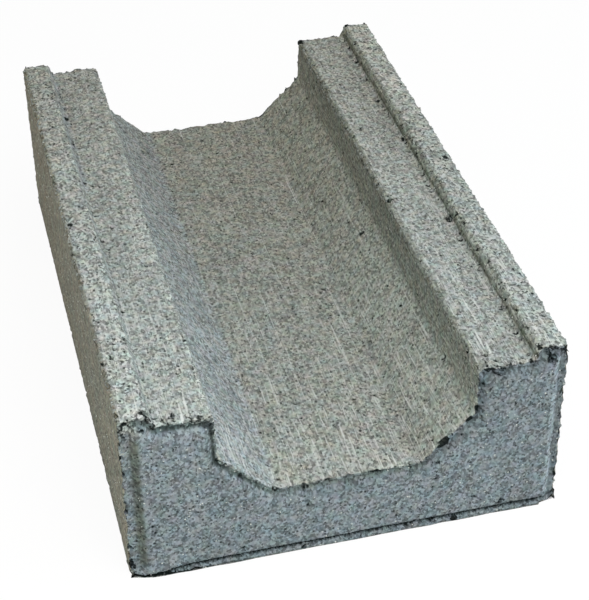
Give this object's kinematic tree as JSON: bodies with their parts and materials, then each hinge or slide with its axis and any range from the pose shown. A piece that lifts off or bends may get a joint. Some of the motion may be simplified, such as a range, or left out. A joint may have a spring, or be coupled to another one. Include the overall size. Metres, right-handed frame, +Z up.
{
  "type": "cable channel paver",
  "caption": "Cast concrete block with an open cable channel, stepped cover seats and raised end pads.",
  "frame": {"origin": "middle of the underside", "axes": "+Y along the channel, away from the end that the picture shows; +X across it; +Z up"},
  "size_m": [0.25, 0.402, 0.112],
  "materials": {
    "concrete": "rough, dry-cast, open-pored"
  },
  "bodies": {
    "root": {"channel_block": "concrete"}
  },
  "joints": []
}
